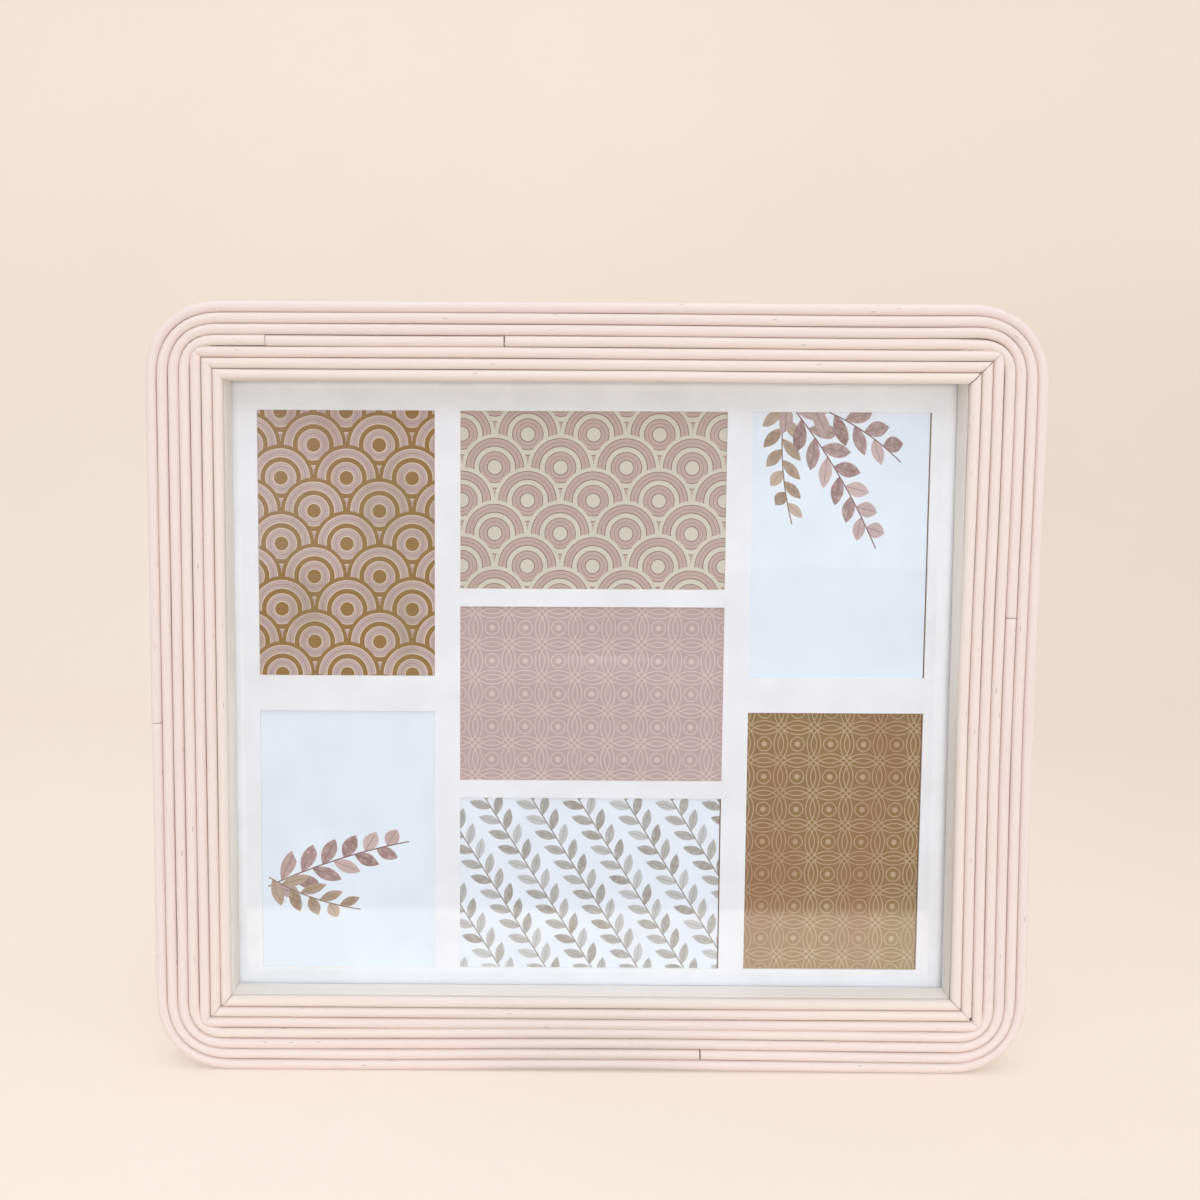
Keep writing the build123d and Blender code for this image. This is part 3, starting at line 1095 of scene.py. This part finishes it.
def makeCard(name, card):
    material, tree, shader = newMaterial(f"card_{name}")
    low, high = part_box(f"print_{name}")
    centre = (low + high) / 2
    if card["design"] == "scales":
        colour = scaleColours(tree, centre, card)
    elif card["design"] == "rings":
        colour = ringColours(tree, centre, card)
    elif card["design"] == "leaves":
        place = cardPlace(tree, centre, card["turn"])
        colour = leafColours(tree, place, card, card["ground"], card["gap"])
    else:
        colour = sprigColours(tree, centre, card)
    gold = card.get("goldInk", False)
    if gold:
        shift = noiseAt(tree, placeOf(tree, scale=(1, 1, 0.3)), 22, 2)
        colour = blendColour(tree, rescale(tree, shift, 0.5, 0.68, 0, 0.35), colour, printing["copper"])
        colour = blendColour(tree, rescale(tree, shift, 0.46, 0.3, 0, 0.3), colour, printing["olive"])
    tooth = useGroup(tree, paperTooth, Place=placeOf(tree))
    darker = rescale(tree, tooth["Mottle"], 0.3, 0.75, 0, 0.06)
    colour = blendColour(tree, darker, colour, printing["shade"])
    tree.links.new(colour, shader.inputs["Base Color"])
    smooth, rough = (0.1, 0.2) if gold else (0.4, 0.52)
    tree.links.new(rescale(tree, tooth["Height"], 0.4, 1.1, smooth, rough), shader.inputs["Roughness"])
    shader.inputs["Specular IOR Level"].default_value = 1.0 if gold else 0.4
    bumpFrom(tree, shader, tooth["Height"], 0.02 if gold else 0.1, 0.02 * mm)
    dress(f"print_{name}", material)


for name, card in cards.items():
    makeCard(name, card)
print("cards printed")

# hardware on the back
screw = {
    "head": 3.05 * mm,
    "height": 1.75 * mm,
    "rim": 0.5 * mm,
    "domeSteps": 6,
    "shank": 1.45 * mm,
    "depth": 11 * mm,
    "steps": 32,
    "slotLength": 1.9 * mm,
    "slotWidth": 0.55 * mm,
    "slotDepth": 1.2 * mm,
    "slotTaper": 0.62,  # share of the width at the bottom
    "firstTurn": 0.3,
    "nextTurn": 1.1,  # no two screws stand alike
}


def pivotOf(joint):
    return next(Vector(j["pos_m"]) for j in frame["joints"] if j["name"] == joint)


def screwInto(bm, place):
    # domed head and plain shank, spun round the screw's own axis
    head, height, rim = screw["head"], screw["height"], screw["rim"]
    shank, depth = screw["shank"], screw["depth"]
    outline = [(0, height)]
    for number in range(1, screw["domeSteps"] + 1):
        angle = number / screw["domeSteps"] * math.pi / 2
        outline.append((head * math.sin(angle), rim + (height - rim) * math.cos(angle)))
    outline += [(head, 0), (shank, 0), (shank, -depth), (0, -depth)]
    verts = [bm.verts.new(place + Vector((out, along, 0))) for out, along in outline]
    edges = [bm.edges.new(pair) for pair in zip(verts, verts[1:])]
    bmesh.ops.spin(
        bm, geom=verts + edges, cent=place, axis=(0, 1, 0), dvec=(0, 0, 0), angle=2 * math.pi,
        steps=screw["steps"], use_merge=True, use_duplicate=False,
    )


def crossInto(bm, place, turn):
    # a cube with its four sides drawn out makes the cross of the driver's recess
    half = screw["slotWidth"] / 2
    depth = screw["slotDepth"]
    top = screw["height"] + depth / 2
    low = Vector((-half, screw["height"] - depth, -half))
    made = boxBetween(bm, low, Vector((half, top, half)))
    faces = once(face for vert in made for face in vert.link_faces if abs(face.normal.y) < 0.5)
    everything = list(made)
    for face in faces:
        way = face.normal.copy()
        drawn = bmesh.ops.extrude_discrete_faces(bm, faces=[face])["faces"]
        verts = [vert for part in drawn for vert in part.verts]
        bmesh.ops.translate(bm, vec=way * (screw["slotLength"] - half), verts=verts)
        everything += verts
    for vert in everything:
        if vert.co.y < top - depth:
            vert.co.x *= screw["slotTaper"]
            vert.co.z *= screw["slotTaper"]
    bmesh.ops.rotate(bm, cent=(0, 0, 0), matrix=Matrix.Rotation(turn, 3, "Y"), verts=everything)
    bmesh.ops.translate(bm, vec=place, verts=everything)


def carve(piece, bm):
    # cuts a shape out of a piece and keeps the result as its mesh
    carver = linkMesh("carver", bm)
    cut = piece.modifiers.new("recess", "BOOLEAN")
    cut.object = carver
    cut.solver = "EXACT"
    cut.use_self = True
    seen = piece.evaluated_get(bpy.context.evaluated_depsgraph_get())
    carved = bpy.data.meshes.new_from_object(seen)
    piece.modifiers.clear()
    piece.data = carved
    bpy.data.objects.remove(carver)


def makeScrews(name, node, places):
    bm = bmesh.new()
    cutter = bmesh.new()
    for number, place in enumerate(places):
        screwInto(bm, place)
        crossInto(cutter, place, number * screw["nextTurn"] + screw["firstTurn"])
    bmesh.ops.remove_doubles(bm, verts=bm.verts, dist=0.003 * mm)
    bmesh.ops.recalc_face_normals(bm, faces=bm.faces)
    bmesh.ops.recalc_face_normals(cutter, faces=cutter.faces)
    piece = addPiece(name, bm, platedSteel, instead=[node], sharp=35)
    carve(piece, cutter)


button = {
    "ease": 0.3 * mm,
    "names": ["top_left", "top_right", "bottom_left", "bottom_right", "left", "right"],
}
for name in button["names"]:
    plate = f"button_{name}_plate"
    easedCopy(f"turn_button_{name}", plate, button["ease"], platedSteel, f"button_{name}")
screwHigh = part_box("turn_button_screws")[1].y - screw["height"]
buttonPivots = [pivotOf(f"turn_button_{name}") for name in button["names"]]
makeScrews("button_screws", "turn_button_screws", [Vector((p.x, screwHigh, p.z)) for p in buttonPivots])

hanger = {
    "screwAboveFoot": 7 * mm,
    "strapEase": 0.25 * mm,
    "wire": 1.0 * mm,
    "wireSides": 16,
    "bow": 10 * mm,
    "corner": 2.5 * mm,
    "step": 0.8 * mm,
}


def arcPoints(centre, radius, first, last, steps):
    angles = [first + (last - first) * number / steps for number in range(steps + 1)]
    return [centre + Vector((math.cos(a), 0, math.sin(a))) * radius for a in angles]


def makeRing(side):
    # round wire bent to a D below its straight leg
    pivot = pivotOf(f"ring_swing_{side}")
    bow, corner = hanger["bow"], hanger["corner"]
    reach = math.sqrt((bow - corner) ** 2 - corner ** 2)
    dip = math.atan2(corner, reach)
    right = pivot + Vector((reach, 0, -corner))
    left = pivot + Vector((-reach, 0, -corner))
    points = [pivot]
    points += arcPoints(right, corner, math.pi / 2, -dip, 12)
    points += arcPoints(pivot, bow, -dip, dip - math.pi, 40)[1:]
    points += arcPoints(left, corner, dip - math.pi, -1.5 * math.pi, 12)[1:]
    points.append(pivot)
    line = evenly(points, hanger["step"])[0]
    line.pop()  # the wire closes on its first point
    frames = []
    for index, point in enumerate(line):
        travel = (line[(index + 1) % len(line)] - line[index - 1]).normalized()
        frames.append(rodFrame(point, travel, hanger["wire"]))
    bm = bmesh.new()
    rims = pullRod(bm, frames, hanger["wireSides"])[1]
    bmesh.ops.bridge_loops(bm, edges=rims[0] + rims[-1])
    bmesh.ops.recalc_face_normals(bm, faces=bm.faces)
    addPiece(f"ring_{side}_wire", bm, platedSteel, f"ring_{side}", [f"d_ring_{side}"])


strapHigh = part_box("hanger_screws")[1].y - screw["height"]
strapScrews = []
for side in ("left", "right"):
    makeRing(side)
    strap = f"strap_{side}_eased"
    easedCopy(f"hanger_strap_{side}", strap, hanger["strapEase"], platedSteel)
    low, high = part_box(f"hanger_strap_{side}")
    strapScrews.append(Vector(((low.x + high.x) / 2, strapHigh, low.z + hanger["screwAboveFoot"])))
makeScrews("strap_screws", "hanger_screws", strapScrews)

# V nails that draw the mitres together, driven flush from the back
vNail = {
    "places": (14 * mm, 24 * mm),
    "leg": 5 * mm,
    "thick": 0.45 * mm,
    "deep": 5 * mm,
    "proud": 0.05 * mm,
}


def makeVNails():
    bm = bmesh.new()
    for side in sideNames:
        travel, inwards = sides[side]
        for place in vNail["places"]:
            tip = cornerAfter(side, place)
            tip.y = railBack + vNail["proud"]
            ends = (tip + inwards * vNail["leg"], tip, tip - travel * vNail["leg"])
            verts = [bm.verts.new(point) for point in ends]
            edges = [bm.edges.new(pair) for pair in zip(verts, verts[1:])]
            made = bmesh.ops.extrude_edge_only(bm, edges=edges)["geom"]
            bmesh.ops.translate(bm, vec=(0, -vNail["deep"], 0), verts=vertsIn(made))
    bmesh.ops.recalc_face_normals(bm, faces=bm.faces)
    bmesh.ops.solidify(bm, geom=bm.faces[:], thickness=vNail["thick"])
    bmesh.ops.recalc_face_normals(bm, faces=bm.faces)
    addPiece("corner_v_nails", bm, platedSteel, sharp=25)


makeVNails()
print("hardware made")

# floor and backdrop: one sheet of paper that sweeps up
sweep = {
    "half": 9.0,
    "front": -9.0,
    "bend": 1.25,
    "radius": 0.7,
    "top": 3.4,
    "steps": 24,
    "paper": tone(247, 233, 218),
    "mottle": tone(245, 231, 215),
    "shown": tone(253, 239, 225),
    "shownShare": 0.45,
    "shownFar": (-1.0, -0.5),  # far in front the camera sees the paper's own colour alone
    "mirrorShare": 0.9,
    "mirrorGain": 0.25,
    "shownRise": (0.5, 1.4),  # painted light: the backdrop grows lighter between these heights
    "shownLow": 1.04,
    "shownHigh": 1.16,
    "bounce": 0.65,  # share of its light that the paper in front throws back on the object
    "bounceEdge": (0.6, 1.6),  # where that part ends sideways, for each metre ahead
    "rightShade": tone(238, 222, 205),  # painted shade: the backdrop is a little darker on the right
    "rightEdge": (-0.1, 0.8),
    "rightRise": (0.3, 1.0),
    "reflectEdge": -0.245,  # the pane mirrors the lit paper only as far out as this
    "reflectSoft": 0.012,
    "dark": (0.08, 0.075, 0.07, 1),  # painted reflection: the dim room the pane shows beyond that
}


def makeSweepPaper():
    material, tree, shader = newMaterial("sweepPaper")
    place = placeOf(tree)
    mottle = rescale(tree, noiseAt(tree, place, 3, 3, 0.6), 0.3, 0.7)
    path, mirrored = rayKinds(tree)
    colour = blendColour(tree, mottle, sweep["paper"], sweep["mottle"])
    x, y, z = splitXyz(tree, place)
    ahead = calc(tree, "MAXIMUM", times(tree, y, -1), 0.05)
    outwards = calc(tree, "DIVIDE", calc(tree, "ABSOLUTE", x), ahead)
    inFront = rescale(tree, outwards, *sweep["bounceEdge"], 1, 0)
    kept = times(tree, path["Is Diffuse Ray"], 1 - sweep["bounce"], inFront)
    tree.links.new(blendColour(tree, kept, colour, (0, 0, 0, 1)), shader.inputs["Base Color"])
    shader.inputs["Roughness"].default_value = 0.9
    shader.inputs["Specular IOR Level"].default_value = 0.1
    # the paper shows part of its own colour to the camera and in the pane, and keeps the shadow
    seen = calc(tree, "MAXIMUM", path["Is Camera Ray"], mirrored)
    glow = tree.nodes.new("ShaderNodeEmission")
    # painted shade: darker to the right, most of all low down near the frame
    lower = rescale(tree, z, *sweep["rightRise"], 1, 0.3)
    rightwards = times(tree, rescale(tree, x, *sweep["rightEdge"]), lower)
    shown = blendColour(tree, rightwards, sweep["shown"], sweep["rightShade"])
    tree.links.new(shown, glow.inputs["Color"])
    # painted reflection: in the pane the paper glows a quarter brighter than to the camera
    gain = calc(tree, "MULTIPLY_ADD", mirrored, sweep["mirrorGain"], 1)
    # painted light: the paper glows brighter higher up
    upwards = rescale(tree, z, *sweep["shownRise"], sweep["shownLow"], sweep["shownHigh"])
    tree.links.new(times(tree, gain, upwards), glow.inputs["Strength"])
    nearer = rescale(tree, y, *sweep["shownFar"], 1, sweep["shownShare"])
    share = times(tree, seen, nearer)
    share = calc(tree, "MAXIMUM", share, times(tree, mirrored, sweep["mirrorShare"]))
    lit = mixShaders(tree, share, shader.outputs[0], glow.outputs[0])
    # painted reflection: past the edge the pane shows the paper dark, like a dim room
    edge, soft = sweep["reflectEdge"], sweep["reflectSoft"]
    beyond = rescale(tree, y, edge - soft, edge + soft, 1, 0)
    dark = tree.nodes.new("ShaderNodeBsdfDiffuse")
    dark.inputs["Color"].default_value = sweep["dark"]
    mix = mixShaders(tree, times(tree, beyond, mirrored), lit, dark.outputs[0])
    tree.links.new(mix, tree.nodes["Material Output"].inputs["Surface"])
    return material


def makeSweep():
    bm = bmesh.new()
    verts = [bm.verts.new((x, sweep["front"], 0)) for x in (-sweep["half"], sweep["half"])]
    edge = bm.edges.new(verts)
    made = bmesh.ops.extrude_edge_only(bm, edges=[edge])["geom"]
    drawn = vertsIn(made)
    bmesh.ops.translate(bm, vec=(0, sweep["bend"] - sweep["front"], 0), verts=drawn)
    rim = [edge for edge in edgesIn(made) if set(edge.verts) == set(drawn)]
    spun = bmesh.ops.spin(
        bm, geom=drawn + rim, cent=(0, sweep["bend"], sweep["radius"]), axis=(1, 0, 0), dvec=(0, 0, 0),
        angle=math.pi / 2, steps=sweep["steps"], use_merge=False, use_duplicate=False,
    )["geom_last"]
    made = bmesh.ops.extrude_edge_only(bm, edges=edgesIn(spun))["geom"]
    bmesh.ops.translate(bm, vec=(0, 0, sweep["top"] - sweep["radius"]), verts=vertsIn(made))
    bmesh.ops.recalc_face_normals(bm, faces=bm.faces)
    paper = linkMesh("paper_sweep", bm)
    paper.data.shade_smooth()
    paper.data.materials.append(makeSweepPaper())


makeSweep()

# light: two soft boxes ahead, low and high, and a weak one overhead, in an evenly lit room
lamps = {
    "overhead": {
        "place": (0.05, -0.8, 2.3),
        "aim": (0, 0, 0.1),
        "size": 1.2,
        "power": 6.3,
        "colour": (0.97, 0.99, 1.03),
    },
    "high": {
        "place": (0.05, -1.7, 1.6),
        "aim": (0, 0, 0.15),
        "size": 1.0,
        "power": 6.8,
        "colour": (0.97, 0.99, 1.03),
    },
    "ahead": {
        "place": (0.15, -2.1, 0.21),
        "aim": (0, 0, 0.2),
        "size": 0.38,
        "power": 12.3,
        "colour": (0.97, 0.99, 1.045),
    },
}
room = {
    "light": (0.95, 0.985, 1.065, 1),
    "front": 0.28,  # the room is dimmer behind the camera than at its sides and above
    "around": 1.0,
    "shown": tone(246, 232, 218),
    "mirrored": 0.08,
    "mirroredSides": 0.5,
    "sidesFrom": (0.08, 0.3),
}


def makeLamp(name, lamp):
    light = bpy.data.lights.new(name, "AREA")
    light.shape = "DISK"
    light.size = lamp["size"]
    light.energy = lamp["power"]
    light.color = lamp["colour"]
    holder = bpy.data.objects.new(name, light)
    holder.location = lamp["place"]
    way = Vector(lamp["aim"]) - Vector(lamp["place"])
    holder.rotation_euler = way.to_track_quat("-Z", "Y").to_euler()
    holder.visible_glossy = False  # the lamps leave no patches on either face of the pane
    holder.visible_transmission = False
    holder.visible_camera = False
    scene.collection.objects.link(holder)


def makeRoom():
    # the camera sees pale paper all round; the pane mirrors a dim room in front
    world = bpy.data.worlds.new("room")
    scene.world = world
    world.use_nodes = True
    tree = world.node_tree
    lit = tree.nodes["Background"]
    lit.inputs["Color"].default_value = room["light"]
    path, mirrored = rayKinds(tree)
    x, y, z = splitXyz(tree, tree.nodes.new("ShaderNodeTexCoord").outputs["Generated"])
    ahead = calc(tree, "MINIMUM", y, 0)
    facing = times(tree, ahead, ahead)
    strength = calc(tree, "MULTIPLY_ADD", facing, room["front"] - room["around"], room["around"])
    outwards = calc(tree, "ABSOLUTE", x)
    sidewards = rescale(tree, outwards, *room["sidesFrom"], room["mirrored"], room["mirroredSides"])
    dim = times(tree, calc(tree, "LESS_THAN", y, 0), mirrored)
    strength = calc(tree, "MULTIPLY_ADD", dim, minus(tree, sidewards, strength), strength)
    tree.links.new(strength, lit.inputs["Strength"])
    shown = tree.nodes.new("ShaderNodeBackground")
    shown.inputs["Color"].default_value = room["shown"]
    mix = mixShaders(tree, path["Is Camera Ray"], lit.outputs[0], shown.outputs[0])
    tree.links.new(mix, tree.nodes["World Output"].inputs["Surface"])


for name, lamp in lamps.items():
    makeLamp(name, lamp)
makeRoom()

# camera: nearly level, left of the middle and a little above it
eye = {
    "place": (-35.7 * mm, -618.7 * mm, 295.7 * mm),
    "down": 4.043,
    "right": -0.211,
    "roll": 0.28,
    "focal": 1135.5,  # in pixels of a picture this wide
    "picture": 1200,
    "middle": (523.3, 611.9),
}


def makeCamera():
    data = bpy.data.cameras.new("eye")
    data.sensor_width = 36
    data.lens = eye["focal"] / eye["picture"] * data.sensor_width
    data.shift_x = 0.5 - eye["middle"][0] / eye["picture"]
    data.shift_y = eye["middle"][1] / eye["picture"] - 0.5
    data.clip_start = 0.01
    holder = bpy.data.objects.new("eye", data)
    level = Matrix.Rotation(math.radians(90 - eye["down"]), 4, "X")
    heading = Matrix.Rotation(math.radians(-eye["right"]), 4, "Z")
    tilt = Matrix.Rotation(math.radians(eye["roll"]), 4, "Z")
    holder.matrix_world = Matrix.Translation(eye["place"]) @ heading @ level @ tilt
    scene.collection.objects.link(holder)
    scene.camera = holder


makeCamera()
scene.view_settings.view_transform = "Standard"
print("stage lit")
